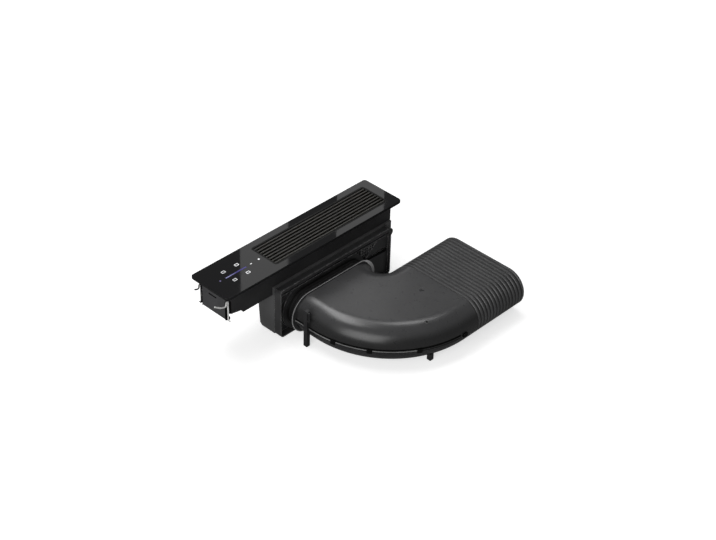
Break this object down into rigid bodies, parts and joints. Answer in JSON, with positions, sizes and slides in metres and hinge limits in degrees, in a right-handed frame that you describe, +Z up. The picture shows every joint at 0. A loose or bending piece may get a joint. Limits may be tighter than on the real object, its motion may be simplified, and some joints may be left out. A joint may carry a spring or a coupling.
{
  "type": "downdraft vent",
  "caption": "Worktop downdraft vent: black glass strip with touch control and louvred grille over a slim housing, plenum box and flat moulded duct bend with a ribbed outlet.",
  "frame": {"origin": "centre of the glass strip, on its underside, in the worktop's top plane", "axes": "+Y along the glass strip away from the cook, +X to the cook's right, towards the duct bend, +Z up"},
  "size_m": [0.4318, 0.6043, 0.172],
  "materials": {
    "glass_black": "gloss",
    "seal_foam": "matt foam",
    "housing_coat": "satin powder coat",
    "gland_plastic": "matt",
    "plate_coat": "satin powder coat",
    "bracket_plastic": "matt",
    "wire_steel": "drawn bright wire",
    "seat_plastic": "matt",
    "grille_coat": "satin powder coat",
    "rail_steel": "rolled",
    "filter_steel": "brushed",
    "filter_mesh": "expanded mesh",
    "control_plastic": "matt",
    "board": "lacquered",
    "light_guide": "clear moulded",
    "plenum_coat": "satin powder coat",
    "cover_plastic": "moulded",
    "clip_plastic": "moulded",
    "screw_steel": "blackened",
    "collar_plastic": "moulded",
    "bellows_rubber": "matt",
    "ring_plastic": "moulded",
    "bend_plastic": "fine-grained satin",
    "bend_plastic_lower": "fine-grained satin",
    "ribbed_plastic": "satin",
    "foot_plastic": "matt"
  },
  "bodies": {
    "root": {"glass_panel": "glass_black", "glass_seal": "seal_foam", "housing_body": "housing_coat", "cable_gland": "gland_plastic", "front_plate": "plate_coat", "clamp_bracket_right": "bracket_plastic", "clamp_bracket_left": "bracket_plastic", "grille_seat": "seat_plastic", "filter_rail_right": "rail_steel", "filter_rail_left": "rail_steel", "control_box": "control_plastic", "control_board": "board", "light_guides": "light_guide", "plenum_body": "plenum_coat", "plenum_seal": "seal_foam", "side_cover": "cover_plastic", "cover_clips": "clip_plastic", "cover_screws": "screw_steel", "outlet_collar": "collar_plastic", "collar_bellows": "bellows_rubber", "inlet_ring": "ring_plastic", "bend_upper_shell": "bend_plastic", "bend_lower_shell": "bend_plastic_lower", "seam_clips": "clip_plastic", "ribbed_duct": "ribbed_plastic", "joint_sleeve": "collar_plastic", "support_post": "foot_plastic", "support_peg": "foot_plastic"},
    "grille": {"grille_frame": "grille_coat", "grille_bars": "grille_coat"},
    "filter": {"filter_frame": "filter_steel", "filter_pleats": "filter_mesh", "filter_handle": "filter_steel"},
    "wire_right": {"clamp_wire_right": "wire_steel"},
    "wire_left": {"clamp_wire_left": "wire_steel"}
  },
  "joints": [
    {"name": "grille_lift", "type": "slide", "parent": "root", "child": "grille", "axis": [0, 0, 1], "range_m": [0, 0.12]},
    {"name": "filter_lift", "type": "slide", "parent": "root", "child": "filter", "axis": [0, 0, 1], "range_m": [0, 0.06]},
    {"name": "clamp_wire_right_swing", "type": "hinge", "parent": "root", "child": "wire_right", "pos_m": [0.04202, -0.24515, -0.037], "axis": [0, 0, 1], "range_deg": [0, 90]},
    {"name": "clamp_wire_left_swing", "type": "hinge", "parent": "root", "child": "wire_left", "pos_m": [-0.04202, -0.24515, -0.037], "axis": [0, 0, 1], "range_deg": [-90, 0]}
  ],
  "couplings": [
    {"joint": "filter_lift", "follows": "grille_lift", "ratio": 0.5}
  ]
}
